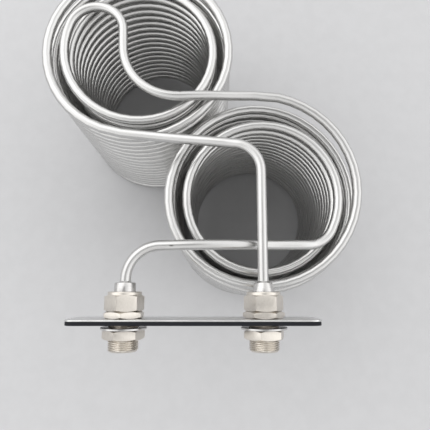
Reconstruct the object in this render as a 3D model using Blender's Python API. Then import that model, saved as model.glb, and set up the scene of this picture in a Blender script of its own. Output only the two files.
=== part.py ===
"""Immersion wort chiller: one run of steel tube wound into two double coils, on a two-union plate.

Metres. +Z runs up along the coils, +Y points into the vessel and +X runs along the plate.
The origin is the centre of the gasket's outer face, where it seals on the vessel's wall.
"""
from math import atan2, ceil, cos, degrees, pi, radians, sin, sqrt, tan

import bmesh
import bpy
import numpy as np
from mathutils import Vector

# Clearances
GAP = 0.0003                    # between pieces that touch
THREAD_CLEARANCE = 0.0003       # radial, round the body's thread
SLEEVE_CLEARANCE = 0.0004       # radial, between a union nut and its sleeve

# Tube
TUBE_OD = 0.009525
TUBE_WALL = 0.0009
LINK_RESOLUTION = 2             # bevel resolution: 8 sides
FORM_RESOLUTION = 1             # bevel resolution: 6 sides
BEND_STEP = 12.0                # degrees between the points of a bend
STRAIGHT_STEP = 0.024
JOINT_RUN = 1.3                 # tube diameters that stay straight beside a joint
GAP_SAMPLES = 4                 # between two points, when the gap in a winding is measured
SMOOTH_ANGLE = 30.0             # edges sharper than this stay sharp
FLOOR_CUT = TUBE_OD / 10        # the flat that each coil stands on

# Plate and gasket
UNION_SPACING = 0.122
PLATE_LENGTH = 0.2165
PLATE_HEIGHT = 0.043
PLATE_THICKNESS = 0.0015
PLATE_CORNER = 0.009
PLATE_EDGE_ROUND = 0.0005
GASKET_THICKNESS = 0.003
GASKET_INSET = 0.0005           # the gasket's outline, inside the plate's
CORNER_SEGMENTS = 6
ROUND_SEGMENTS = 24

# Bulkhead body
THREAD_DIAMETER = 0.0264
BODY_BORE = 0.016
THREAD_CHAMFER = 0.001
WALL_SPACE = 0.0025             # room for the vessel's wall, outside the gasket
THREAD_SPARE = 0.010            # thread left free outside the backing nut

# Nuts
NUT_WALL = 0.0026               # from the thread to a flat of the locknut or backing nut
UNION_NUT_WALL = 0.0018         # and of the union nut
UNION_NUT_HEX_LENGTH = 0.0138
UNION_NUT_COLLAR_WALL = 0.0016  # from the thread to the collar's outside
UNION_NUT_COLLAR_LENGTH = 0.003
UNION_NUT_LID = 0.0032          # the wall that holds the sleeve's flange
LOCKNUT_LENGTH = 0.0055
BACKING_NUT_LENGTH = 0.008
NUT_CHAMFER_ANGLE = 28.0
LEFT_UNION_TURN = 17.5          # degrees about the axis, away from a flat on top
RIGHT_UNION_TURN = 2.0
LEFT_LOCKNUT_TURN = 31.0
RIGHT_LOCKNUT_TURN = -2.0
BACKING_NUT_TURN = 14.0

# Washers and seals
WASHER_MARGIN = 0.0042          # from a nut's flat to the washer's edge
WASHER_THICKNESS = 0.002
SEAL_THICKNESS = 0.002
FLANGE_CLEARANCE = 0.0004       # radial, between flange or seal and the nut's bore

# Tail sleeve
SLEEVE_DIAMETER = 0.0189
SLEEVE_VISIBLE_LENGTH = 0.0078
SLEEVE_CHAMFER = 0.0006
FLANGE_THICKNESS = 0.003
TUBE_SETBACK = 0.001            # from the flange's face back to the tube's end

# Coils
INNER_RADIUS = 0.0762           # to the tube's centre line
BETWEEN_HELICES = 0.007075      # clear, from the inner helix to the outer
BETWEEN_COILS = 0.001924        # clear, where the two coils are nearest
RIGHT_COIL_X = 0.0656
COIL_FROM_WALL = 0.0243375      # clear, from the gasket's plane to the right coil
LEFT_COIL_DIRECTION = 129.75    # degrees, from the right coil's centre to the left one's
RIGHT_INNER_TURNS = 17
LEFT_INNER_TURNS = 18
RIGHT_OUTER_TURNS = 16          # whole turns, besides the bottom one
LEFT_OUTER_TURNS = 17
INNER_LOOP_POINTS = 10
OUTER_LOOP_POINTS = 11
TURN_GAP = 0.000925             # clear, between the right inner helix's turns
LEFT_ABOVE_RIGHT = 0.0155       # the left coil's start, above the right coil's
TOP_TURN_GAP = 0.008475         # clear, as the inner helix's top turn falls or the outer's rises
COIL_BELOW_UNIONS = 0.024975    # clear, from the unions' axes down to the right inner helix's start
RIGHT_LEAVES_ABOVE = 0.004      # the outer helix's end, above the inner helix's start
LEFT_LEAVES_ABOVE = 0.003
RIGHT_SWING = 0.0075            # the outer top turn shifts towards where it leaves
RIGHT_GROWTH = 0.0035           # and it's this much wider, in radius
LEFT_SWING = 0.0
LEFT_GROWTH = 0.001
SWING_BEGINS = 0.95             # turns before the end
SWING_ENDS = 0.55
# The upper outer turns stand out on the side given: how far, the direction in degrees, and how many
# turns below the top this fades out and over how many
RIGHT_STAND_OUT = (0.005, 105.0, 4.5, 3.5)
LEFT_STAND_OUT = (-0.0033, -50.0, 7.5, 4.5)
OUTER_LEAN = Vector((-0.003, -0.003))  # of the outer helices' lower ends
BOTTOM_LIFT = 0.002             # both helices, above the turn that the coil stands on
BOTTOM_RAMP = 0.15              # of a turn
BOTTOM_GAP = 0.001275           # clear, from the bottom turn to the outer helix half a turn on
CROSSING_GAP = 0.00037          # and a quarter of a turn on, where they pass diagonally

# Feed tube
FEED_BEND_RADIUS = 0.0305
FEED_CHORD_INSIDE = 0.0227      # the chord's beginning, inside the inner helix's centre line
FEED_CHORD_HEADING = 1.4
FEED_ENTRY_RADIUS = 0.028
FEED_LEVEL_SHARE = 0.36         # of its length: level before it falls

# Link tube
RIGHT_LEAVE_ANGLE = 94.5
LINK_TAIL_INSIDE = 0.0616814    # the tail's beginning, from the left side of the inner helix
LINK_BEND_RADIUS = 0.054
LINK_TAIL_HEADING = 92.0
LINK_ENTRY_RADIUS = 0.029
LINK_ABOVE_LEFT_START = 0.0039  # where it passes over the left coil's rims
LINK_RISE_SHARE = 0.21          # of its length: it has risen to there
LINK_LEVEL_SHARE = 0.55         # and stays level to there

# Return tube
LEFT_LEAVE_ANGLE = -97.8
RETURN_BEND_RADIUS = 0.028
RETURN_RISE_SHARE = 0.55

# Sizes taken from the thread
NUT_FLATS = THREAD_DIAMETER + 2 * NUT_WALL
UNION_NUT_FLATS = THREAD_DIAMETER + 2 * UNION_NUT_WALL
UNION_NUT_COLLAR_DIAMETER = THREAD_DIAMETER + 2 * UNION_NUT_COLLAR_WALL
WASHER_DIAMETER = NUT_FLATS + 2 * WASHER_MARGIN

# Places along the unions' axes, from the gasket's outer face into the vessel
PLATE_BACK = GASKET_THICKNESS + GAP
PLATE_FRONT = PLATE_BACK + PLATE_THICKNESS
LOCKNUT_BACK = PLATE_FRONT + GAP
UNION_NUT_BACK = LOCKNUT_BACK + LOCKNUT_LENGTH + GAP
UNION_NUT_SHOULDER = UNION_NUT_BACK + UNION_NUT_HEX_LENGTH
UNION_NUT_FRONT = UNION_NUT_SHOULDER + UNION_NUT_COLLAR_LENGTH
FLANGE_FRONT = UNION_NUT_FRONT - UNION_NUT_LID - GAP
FLANGE_BACK = FLANGE_FRONT - FLANGE_THICKNESS
SEAL_BACK = FLANGE_BACK - GAP - SEAL_THICKNESS
BODY_FRONT = SEAL_BACK - GAP
SLEEVE_FRONT = UNION_NUT_FRONT + SLEEVE_VISIBLE_LENGTH
TUBE_END = FLANGE_BACK + TUBE_SETBACK
WASHER_FRONT = -WALL_SPACE
BACKING_NUT_FRONT = WASHER_FRONT - WASHER_THICKNESS - GAP
BODY_BACK = BACKING_NUT_FRONT - BACKING_NUT_LENGTH - THREAD_SPARE

# The coils' radii and places
OUTER_RADIUS = INNER_RADIUS + TUBE_OD + BETWEEN_HELICES
RIGHT_COIL_CENTRE = Vector((RIGHT_COIL_X, COIL_FROM_WALL + OUTER_RADIUS + TUBE_OD / 2))
COIL_DISTANCE = 2 * OUTER_RADIUS + TUBE_OD + BETWEEN_COILS
LEFT_COIL_CENTRE = RIGHT_COIL_CENTRE + COIL_DISTANCE * Vector(
    (cos(radians(LEFT_COIL_DIRECTION)), sin(radians(LEFT_COIL_DIRECTION))))

# Heights of the tube's centre line
RIGHT_INNER_PITCH = TUBE_OD + TURN_GAP
FIRST_PITCH = LAST_PITCH = TUBE_OD + TOP_TURN_GAP
BOTTOM_RISE = max(TUBE_OD + BOTTOM_GAP,
                  2 * sqrt((TUBE_OD + CROSSING_GAP) ** 2 - ((OUTER_RADIUS - INNER_RADIUS) / 2) ** 2))
RIGHT_START_Z = -TUBE_OD - COIL_BELOW_UNIONS
LEFT_START_Z = RIGHT_START_Z + LEFT_ABOVE_RIGHT
RIGHT_HELIX_HEIGHT = FIRST_PITCH + RIGHT_INNER_PITCH * (RIGHT_INNER_TURNS - 1)
BOTTOM_Z = RIGHT_START_Z - RIGHT_HELIX_HEIGHT - BOTTOM_LIFT
LEFT_INNER_PITCH = (RIGHT_HELIX_HEIGHT + LEFT_ABOVE_RIGHT - FIRST_PITCH) / (LEFT_INNER_TURNS - 1)
RIGHT_LEAVE_Z = RIGHT_START_Z + RIGHT_LEAVES_ABOVE
LEFT_LEAVE_Z = LEFT_START_Z + LEFT_LEAVES_ABOVE
FLOOR_Z = BOTTOM_Z - TUBE_OD / 2 + FLOOR_CUT

# How each outer helix ends: the angle and height there, the swing and growth of its top turn
RIGHT_LEAVES = (RIGHT_LEAVE_ANGLE, RIGHT_LEAVE_Z)
LEFT_LEAVES = (LEFT_LEAVE_ANGLE, LEFT_LEAVE_Z)
RIGHT_TOP = (RIGHT_SWING, RIGHT_GROWTH)
LEFT_TOP = (LEFT_SWING, LEFT_GROWTH)


def material(name, colour, roughness, metallic):
    """A plain Principled material."""
    made = bpy.data.materials.new(name)
    made.use_nodes = True
    shader = made.node_tree.nodes["Principled BSDF"]
    shader.inputs["Base Color"].default_value = (*colour, 1.0)
    shader.inputs["Roughness"].default_value = roughness
    shader.inputs["Metallic"].default_value = metallic
    return made


def link_mesh(name, bm, look):
    """Links a finished bmesh to the scene as a named, smooth-shaded object."""
    bmesh.ops.recalc_face_normals(bm, faces=bm.faces)
    mesh = bpy.data.meshes.new(name)
    bm.to_mesh(mesh)
    bm.free()
    mesh.shade_smooth()
    mesh.set_sharp_from_angle(angle=radians(SMOOTH_ANGLE))
    mesh.materials.append(look)
    piece = bpy.data.objects.new(name, mesh)
    bpy.context.collection.objects.link(piece)
    return piece


def hide_cutter(cutter):
    """A cutter shapes other pieces and isn't one itself."""
    cutter.hide_render = True
    cutter.display_type = "WIRE"


def cut(piece, cutter, operation):
    """Adds an exact Boolean to the piece."""
    modifier = piece.modifiers.new(cutter.name, "BOOLEAN")
    modifier.operation = operation
    modifier.solver = "EXACT"
    modifier.object = cutter


# Pieces turned about a union's axis

def union_axis(name, x):
    """An empty on a union's axis: its local Z points into the vessel."""
    axis = bpy.data.objects.new(name, None)
    axis.location = (x, 0.0, 0.0)
    axis.rotation_euler = (-pi / 2, 0.0, 0.0)
    axis.empty_display_size = 0.02
    bpy.context.collection.objects.link(axis)
    return axis


def turned(name, profile, look, axis):
    """A ring about the axis, from a closed profile of (radius, distance into the vessel)."""
    bm = bmesh.new()
    rings = []
    for step in range(ROUND_SEGMENTS):
        angle = 2 * pi * step / ROUND_SEGMENTS
        rings.append([bm.verts.new((r * cos(angle), r * sin(angle), along)) for r, along in profile])
    for here, there in zip(rings, rings[1:] + rings[:1]):
        for k in range(len(profile)):
            after = (k + 1) % len(profile)
            bm.faces.new((here[k], there[k], there[after], here[after]))
    piece = link_mesh(name, bm, look)
    piece.parent = axis
    return piece


def hexagon_cutter(name, axis, turn, flats):
    """A long hexagonal prism with a flat towards +Z of the world at no turn."""
    bm = bmesh.new()
    corner = flats / 2 / cos(pi / 6)
    length = 4 * UNION_NUT_HEX_LENGTH
    bmesh.ops.create_cone(
        bm, cap_ends=True, segments=6, radius1=corner, radius2=corner, depth=length)
    cutter = link_mesh(name, bm, bpy.data.materials["nickel_brass"])
    cutter.parent = axis
    cutter.rotation_euler = (0.0, 0.0, radians(turn + 30.0))
    hide_cutter(cutter)
    return cutter


def nut_chamfer(flats):
    """How far the chamfer reaches in from the corners, and how far along the axis."""
    corner = flats / 2 / cos(pi / 6)
    across = corner - flats / 2
    return corner + GAP, flats / 2, (across + GAP) * tan(radians(NUT_CHAMFER_ANGLE))


def plain_nut(name, back, length, look, axis, turn):
    """A thin hexagon nut, its corners chamfered on both sides."""
    outer, face, drop = nut_chamfer(NUT_FLATS)
    bore = THREAD_DIAMETER / 2 + THREAD_CLEARANCE
    front = back + length
    mouth = bore + THREAD_CHAMFER
    profile = [(bore, back + THREAD_CHAMFER), (mouth, back), (face, back), (outer, back + drop),
               (outer, front - drop), (face, front), (mouth, front), (bore, front - THREAD_CHAMFER)]
    nut = turned(name, profile, look, axis)
    cut(nut, hexagon_cutter(name + "_hexagon", axis, turn, NUT_FLATS), "INTERSECT")
    return nut


def union_nut(name, look, axis, turn):
    """The nut that draws the sleeve's flange onto the body: a hexagon with a round collar."""
    outer, face, drop = nut_chamfer(UNION_NUT_FLATS)
    bore = THREAD_DIAMETER / 2 + THREAD_CLEARANCE
    mouth = bore + THREAD_CHAMFER
    throat = SLEEVE_DIAMETER / 2 + SLEEVE_CLEARANCE
    collar = UNION_NUT_COLLAR_DIAMETER / 2
    lid = UNION_NUT_FRONT - UNION_NUT_LID
    profile = [(mouth, UNION_NUT_BACK), (face, UNION_NUT_BACK), (outer, UNION_NUT_BACK + drop),
               (outer, UNION_NUT_SHOULDER - drop), (face, UNION_NUT_SHOULDER),
               (collar, UNION_NUT_SHOULDER), (collar, UNION_NUT_FRONT - SLEEVE_CHAMFER),
               (collar - SLEEVE_CHAMFER, UNION_NUT_FRONT), (throat, UNION_NUT_FRONT),
               (throat, lid), (bore, lid), (bore, UNION_NUT_BACK + THREAD_CHAMFER)]
    nut = turned(name, profile, look, axis)
    cut(nut, hexagon_cutter(name + "_hexagon", axis, turn, UNION_NUT_FLATS), "INTERSECT")
    return nut


def bulkhead_body(name, look, axis):
    """The threaded tube that passes through the locknut, the plate, the gasket and the wall."""
    outer = THREAD_DIAMETER / 2
    bore = BODY_BORE / 2
    profile = [(bore, BODY_BACK), (outer - THREAD_CHAMFER, BODY_BACK),
               (outer, BODY_BACK + THREAD_CHAMFER), (outer, BODY_FRONT - THREAD_CHAMFER),
               (outer - THREAD_CHAMFER, BODY_FRONT), (bore, BODY_FRONT)]
    return turned(name, profile, look, axis)


def flat_ring(name, inner, outer, back, thickness, look, axis):
    """A washer or a seal."""
    front = back + thickness
    return turned(name, [(inner, back), (outer, back), (outer, front), (inner, front)], look, axis)


def tail_sleeve(name, look, axis):
    """The sleeve brazed on the tube's end, with the flange that the union nut pulls on."""
    bore = TUBE_OD / 2 + GAP
    outer = SLEEVE_DIAMETER / 2
    flange = THREAD_DIAMETER / 2 + THREAD_CLEARANCE - FLANGE_CLEARANCE
    profile = [(bore, FLANGE_BACK), (flange, FLANGE_BACK), (flange, FLANGE_FRONT),
               (outer, FLANGE_FRONT), (outer, SLEEVE_FRONT - SLEEVE_CHAMFER),
               (outer - SLEEVE_CHAMFER, SLEEVE_FRONT), (bore, SLEEVE_FRONT)]
    return turned(name, profile, look, axis)


def union_pieces(side, x, looks, union_turn, locknut_turn):
    """All the pieces on one union's axis."""
    axis = union_axis(side + "_union_axis", x)
    seal_outer = THREAD_DIAMETER / 2 + THREAD_CLEARANCE - FLANGE_CLEARANCE
    washer_inner = THREAD_DIAMETER / 2 + THREAD_CLEARANCE
    bulkhead_body(side + "_bulkhead_body", looks["nickel"], axis)
    plain_nut(side + "_locknut", LOCKNUT_BACK, LOCKNUT_LENGTH, looks["nickel"], axis, locknut_turn)
    union_nut(side + "_union_nut", looks["nickel"], axis, union_turn)
    flat_ring(side + "_union_seal", BODY_BORE / 2, seal_outer, SEAL_BACK, SEAL_THICKNESS,
              looks["seal"], axis)
    tail_sleeve(side + "_tail_sleeve", looks["steel"], axis)
    flat_ring(side + "_outside_washer", washer_inner, WASHER_DIAMETER / 2,
              WASHER_FRONT - WASHER_THICKNESS, WASHER_THICKNESS, looks["steel"], axis)
    plain_nut(side + "_backing_nut", BACKING_NUT_FRONT - BACKING_NUT_LENGTH, BACKING_NUT_LENGTH,
              looks["nickel"], axis, BACKING_NUT_TURN)


# Plate and gasket

def rounded_sheet(name, length, height, corner, thickness, back, edge, look):
    """An upright sheet with rounded corners and a hole for each bulkhead body."""
    outline = []
    for quarter, (side, level) in enumerate(((1, 1), (-1, 1), (-1, -1), (1, -1))):
        for step in range(CORNER_SEGMENTS + 1):
            angle = pi / 2 * (quarter + step / CORNER_SEGMENTS)
            outline.append((side * (length / 2 - corner) + corner * cos(angle),
                            level * (height / 2 - corner) + corner * sin(angle)))
    bm = bmesh.new()
    face = bm.faces.new([bm.verts.new((x, back, z)) for x, z in outline])
    grown = bmesh.ops.extrude_face_region(bm, geom=[face])["geom"]
    front = [item for item in grown if isinstance(item, bmesh.types.BMVert)]
    bmesh.ops.translate(bm, verts=front, vec=(0.0, thickness, 0.0))
    if edge:
        rim = [e for e in bm.edges if abs(e.verts[0].co.y - e.verts[1].co.y) < edge]
        bmesh.ops.bevel(bm, geom=rim, offset=edge, segments=2, profile=0.5, affect="EDGES")
    sheet = link_mesh(name, bm, look)
    for side, x in (("left", -UNION_SPACING / 2), ("right", UNION_SPACING / 2)):
        hole = bmesh.new()
        radius = THREAD_DIAMETER / 2 + THREAD_CLEARANCE
        bmesh.ops.create_cone(hole, cap_ends=True, segments=ROUND_SEGMENTS, radius1=radius,
                              radius2=radius, depth=4 * thickness)
        cutter = link_mesh(name + "_hole_" + side, hole, look)
        cutter.location = (x, back + thickness / 2, 0.0)
        cutter.rotation_euler = (pi / 2, 0.0, 0.0)
        hide_cutter(cutter)
        cut(sheet, cutter, "DIFFERENCE")
    return sheet


# The tube's run

def heading(angle):
    """The unit vector at an angle in degrees, seen from above."""
    return Vector((cos(radians(angle)), sin(radians(angle))))


def ease(value):
    """Rises from 0 to 1 with level ends."""
    value = min(max(value, 0.0), 1.0)
    return value * value * (3 - 2 * value)


def arc(centre, radius, start, end):
    """Points of a bend in plan, its ends included; the angles are in degrees."""
    steps = max(2, ceil(abs(end - start) / BEND_STEP))
    return [centre + radius * heading(start + (end - start) * k / steps) for k in range(steps + 1)]


def clear_of(points, end):
    """Leaves out the points too near to a joint, where the tube runs straight."""
    return [point for point in points if (point - end).length > JOINT_RUN * TUBE_OD]


def circle_entry(start, direction, centre, circle_radius, bend_radius):
    """The left-hand bend that takes a straight run onto a circle from inside.

    Gives the bend's centre, its first and last angle in degrees.
    """
    ahead = heading(direction)
    left = heading(direction + 90.0)
    offset = start + bend_radius * left - centre
    reach = circle_radius - bend_radius
    along = -offset.dot(ahead) + sqrt(offset.dot(ahead) ** 2 - offset.dot(offset) + reach ** 2)
    bend_centre = start + along * ahead + bend_radius * left
    outward = bend_centre - centre
    last = degrees(atan2(outward.y, outward.x))
    first = direction - 90.0
    while last < first:
        last += 360.0
    return bend_centre, first, last


def with_heights(plan, keys):
    """Gives a plan its heights: keys are (share of the length, height), eased in between."""
    lengths = [0.0]
    for here, there in zip(plan, plan[1:]):
        lengths.append(lengths[-1] + (there - here).length)
    points = []
    for point, length in zip(plan, lengths):
        share = length / lengths[-1]
        height = keys[-1][1]
        for (s0, z0), (s1, z1) in zip(keys, keys[1:]):
            if s0 <= share <= s1:
                height = z0 + (z1 - z0) * ease((share - s0) / (s1 - s0))
                break
        points.append(Vector((point.x, point.y, height)))
    return points


def resampled(points):
    """Adds points on the long straight runs."""
    result = [points[0]]
    for here, there in zip(points, points[1:]):
        steps = max(1, ceil((there - here).length / STRAIGHT_STEP))
        for k in range(1, steps + 1):
            result.append(here.lerp(there, k / steps))
    return result


def joint_on_circle(centre, radius, angle, height):
    """Where two lengths of tube meet on a circle: the point and the flow's direction."""
    point = centre + radius * heading(angle)
    along = heading(angle + 90.0)
    return Vector((point.x, point.y, height)), Vector((along.x, along.y, 0.0))


def starting(joint):
    """The first two points of a length of tube that starts square at a joint."""
    point, along = joint
    return [point + along * GAP / 2, point + along * TUBE_OD]


def ending(joint):
    """The last two points of a length of tube that ends square at a joint."""
    point, along = joint
    return [point - along * TUBE_OD, point - along * GAP / 2]


def tube_curve(name, points, resolution, look):
    """A curve object that sweeps the tube's section along the points."""
    curve = bpy.data.curves.new(name, "CURVE")
    curve.dimensions = "3D"
    curve.twist_mode = "Z_UP"
    curve.bevel_depth = TUBE_OD / 2
    curve.bevel_resolution = resolution
    spline = curve.splines.new("POLY")
    spline.points.add(len(points) - 1)
    for slot, point in zip(spline.points, points):
        slot.co = (*point, 1.0)
    curve.materials.append(look)
    piece = bpy.data.objects.new(name, curve)
    bpy.context.collection.objects.link(piece)
    return piece


def hollow_tube(name, points, look):
    """A length of tube with its bore."""
    piece = tube_curve(name, points, LINK_RESOLUTION, look)
    wall = piece.modifiers.new("wall", "SOLIDIFY")
    wall.thickness = TUBE_WALL
    wall.offset = -1.0
    wall.use_even_offset = True
    return piece


def least_gap(points, loop_points):
    """The least gap of a winding to itself, on points along its centre line."""
    fine = []
    for here, there in zip(points, points[1:]):
        fine.extend(here.lerp(there, k / GAP_SAMPLES) for k in range(GAP_SAMPLES))
    line = np.array([tuple(p) for p in fine])
    least = np.inf
    for k in range(len(line)):
        far = line[k + GAP_SAMPLES * loop_points // 2:]
        if len(far):
            least = min(least, np.sqrt(((far - line[k]) ** 2).sum(axis=1)).min())
    return least - TUBE_OD


def wound_tube(name, points, loop_points, look):
    """A winding of the coil, cut flat where the coil stands on it."""
    guide = tube_curve(name + "_path", points, FORM_RESOLUTION, look)
    guide.data.use_fill_caps = True
    evaluated = guide.evaluated_get(bpy.context.evaluated_depsgraph_get())
    bm = bmesh.new()
    bm.from_mesh(evaluated.to_mesh())
    bpy.data.objects.remove(guide)
    bmesh.ops.remove_doubles(bm, verts=bm.verts, dist=1e-6)
    bmesh.ops.bisect_plane(bm, geom=bm.verts[:] + bm.edges[:] + bm.faces[:], dist=1e-7,
                           plane_co=(0.0, 0.0, FLOOR_Z), plane_no=(0.0, 0.0, -1.0), clear_outer=True)
    open_edges = [edge for edge in bm.edges if edge.is_boundary]
    if open_edges:
        bmesh.ops.holes_fill(bm, edges=open_edges)
    print(f"{name}: least gap to itself {least_gap(points, loop_points) * 1000:.2f} mm")
    return link_mesh(name, bm, look)


def inner_helix(name, centre, start_angle, start_z, turns, pitch, look):
    """Runs down from its start, first steeply and then turn on turn."""
    first = joint_on_circle(centre, INNER_RADIUS, start_angle, start_z)
    last = joint_on_circle(centre, INNER_RADIUS, start_angle, BOTTOM_Z + BOTTOM_LIFT)
    points = starting(first)
    for k in range(1, turns * INNER_LOOP_POINTS):
        turn = k / INNER_LOOP_POINTS
        place = centre + INNER_RADIUS * heading(start_angle + 360.0 * turn)
        drop = FIRST_PITCH * min(turn, 1.0) + pitch * max(turn - 1.0, 0.0)
        points.append(Vector((place.x, place.y, start_z - drop)))
    points += ending(last)
    return wound_tube(name, points, INNER_LOOP_POINTS, look)


def bottom_turn(name, centre, start_angle, look):
    """The level turn that the coil stands on: it crosses from the inner helix to the outer."""
    z = BOTTOM_Z + BOTTOM_LIFT
    points = starting(joint_on_circle(centre, INNER_RADIUS, start_angle, z))
    for k in range(1, OUTER_LOOP_POINTS):
        turn = k / OUTER_LOOP_POINTS
        radius = INNER_RADIUS + (OUTER_RADIUS - INNER_RADIUS) * ease(2 * turn)
        lift = BOTTOM_LIFT * (1 - ease(min(turn, 1 - turn) / BOTTOM_RAMP))
        place = centre + OUTER_LEAN * ease(2 * turn) + radius * heading(start_angle + 360.0 * turn)
        points.append(Vector((place.x, place.y, BOTTOM_Z + lift)))
    points += ending(joint_on_circle(centre + OUTER_LEAN, OUTER_RADIUS, start_angle, z))
    return wound_tube(name, points, OUTER_LOOP_POINTS, look)


def outer_helix(name, centre, start_angle, whole_turns, leaves, top, stand_out, look):
    """Runs up round the inner helix, and its top turn swings out to where it leaves.

    leaves is the angle and the height of its end, top the swing and the growth of its top turn,
    and stand_out says how the turns below it depart from a circle.
    """
    leave_angle, leave_z = leaves
    swing, growth = top
    distance, direction, fades_out, fades_over = stand_out
    start_z = BOTTOM_Z + BOTTOM_LIFT
    turns = whole_turns + ((leave_angle - start_angle) % 360.0) / 360.0
    pitch = (leave_z - start_z - BOTTOM_RISE - LAST_PITCH) / (turns - 1.5)
    points = starting(joint_on_circle(centre + OUTER_LEAN, OUTER_RADIUS, start_angle, start_z))
    for k in range(1, int(turns * OUTER_LOOP_POINTS)):
        turn = k / OUTER_LOOP_POINTS
        left = turns - turn
        rise = BOTTOM_RISE * min(turn / 0.5, 1.0) + LAST_PITCH * max(1.0 - left, 0.0)
        rise += pitch * min(max(turn - 0.5, 0.0), turns - 1.5)
        swung = ease((SWING_BEGINS - left) / (SWING_BEGINS - SWING_ENDS))
        place = centre + OUTER_LEAN * left / turns + swung * swing * heading(leave_angle)
        angle = start_angle + 360.0 * turn
        out = distance * max(cos(radians(angle - direction)), 0.0) ** 3
        out *= (1 - swung) * ease((fades_out - left) / fades_over)
        place += (OUTER_RADIUS + swung * growth + out) * heading(angle)
        points.append(Vector((place.x, place.y, start_z + rise)))
    points += ending(leaving_joint(centre, leaves, top))
    print(f"{name}: pitch {pitch * 1000:.2f} mm")
    return wound_tube(name, points, OUTER_LOOP_POINTS, look)


def leaving_joint(centre, leaves, top):
    """Where an outer helix's top turn ends."""
    return joint_on_circle(centre, OUTER_RADIUS + sum(top), *leaves)


def feed_tube(look):
    """From the left union over the right coil's rims to its inner helix. Gives the entry angle."""
    x = -UNION_SPACING / 2
    chord_y = RIGHT_COIL_CENTRE.y - INNER_RADIUS + FEED_CHORD_INSIDE
    bend = arc(Vector((x + FEED_BEND_RADIUS, chord_y - FEED_BEND_RADIUS)), FEED_BEND_RADIUS,
               180.0, 90.0 + FEED_CHORD_HEADING)
    centre, first, last = circle_entry(bend[-1], FEED_CHORD_HEADING, RIGHT_COIL_CENTRE,
                                       INNER_RADIUS, FEED_ENTRY_RADIUS)
    entry = arc(centre, FEED_ENTRY_RADIUS, first, last)
    entry = clear_of(entry, entry[-1])
    plan = resampled([Vector((x, TUBE_END)), Vector((x, SLEEVE_FRONT + GAP))] + bend + entry)
    points = with_heights(plan, [(0.0, 0.0), (FEED_LEVEL_SHARE, 0.0), (1.0, RIGHT_START_Z)])
    points += ending(joint_on_circle(RIGHT_COIL_CENTRE, INNER_RADIUS, last, RIGHT_START_Z))
    hollow_tube("feed_tube", points, look)
    return last


def link_tube(look):
    """From the right coil's outer helix over the left coil's rims to its inner helix."""
    start, along = leaving_joint(RIGHT_COIL_CENTRE, RIGHT_LEAVES, RIGHT_TOP)
    direction = RIGHT_LEAVE_ANGLE + 90.0
    around = LINK_BEND_RADIUS * (heading(direction - 90.0) + heading(LINK_TAIL_HEADING + 90.0))
    tail_x = LEFT_COIL_CENTRE.x - INNER_RADIUS + LINK_TAIL_INSIDE
    bend_start = start.xy + (tail_x - around.x - start.x) / along.x * along.xy
    bend_centre = bend_start + LINK_BEND_RADIUS * heading(direction - 90.0)
    bend = arc(bend_centre, LINK_BEND_RADIUS, direction + 90.0, LINK_TAIL_HEADING + 90.0)
    centre, first, last = circle_entry(bend[-1], LINK_TAIL_HEADING, LEFT_COIL_CENTRE,
                                       INNER_RADIUS, LINK_ENTRY_RADIUS)
    entry = arc(centre, LINK_ENTRY_RADIUS, first, last)
    entry = clear_of(entry, entry[-1])
    straight = [start.xy + TUBE_OD * along.xy]
    plan = resampled(straight + bend + entry)
    over = LEFT_START_Z + LINK_ABOVE_LEFT_START
    keys = [(0.0, RIGHT_LEAVE_Z), (LINK_RISE_SHARE, over), (LINK_LEVEL_SHARE, over),
            (1.0, LEFT_START_Z)]
    points = [start + along * GAP / 2] + with_heights(plan, keys)
    points += ending(joint_on_circle(LEFT_COIL_CENTRE, INNER_RADIUS, last, LEFT_START_Z))
    hollow_tube("coil_link_tube", points, look)
    return last


def return_tube(look):
    """From the left coil's outer helix over the right coil's rims to the right union."""
    start, along = leaving_joint(LEFT_COIL_CENTRE, LEFT_LEAVES, LEFT_TOP)
    direction = LEFT_LEAVE_ANGLE + 90.0
    x = UNION_SPACING / 2
    bend_centre_x = x - RETURN_BEND_RADIUS
    reach = RETURN_BEND_RADIUS * heading(direction + 90.0)
    run = (bend_centre_x - start.x + reach.x) / along.x
    bend_centre = start.xy + run * along.xy - reach
    bend = arc(bend_centre, RETURN_BEND_RADIUS, direction + 90.0, 0.0)
    straight = [start.xy + TUBE_OD * along.xy]
    tail = [Vector((x, SLEEVE_FRONT + GAP)), Vector((x, TUBE_END))]
    plan = resampled(straight + bend + tail)
    points = [start + along * GAP / 2]
    points += with_heights(plan, [(0.0, LEFT_LEAVE_Z), (RETURN_RISE_SHARE, 0.0), (1.0, 0.0)])
    hollow_tube("return_tube", points, look)


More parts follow.
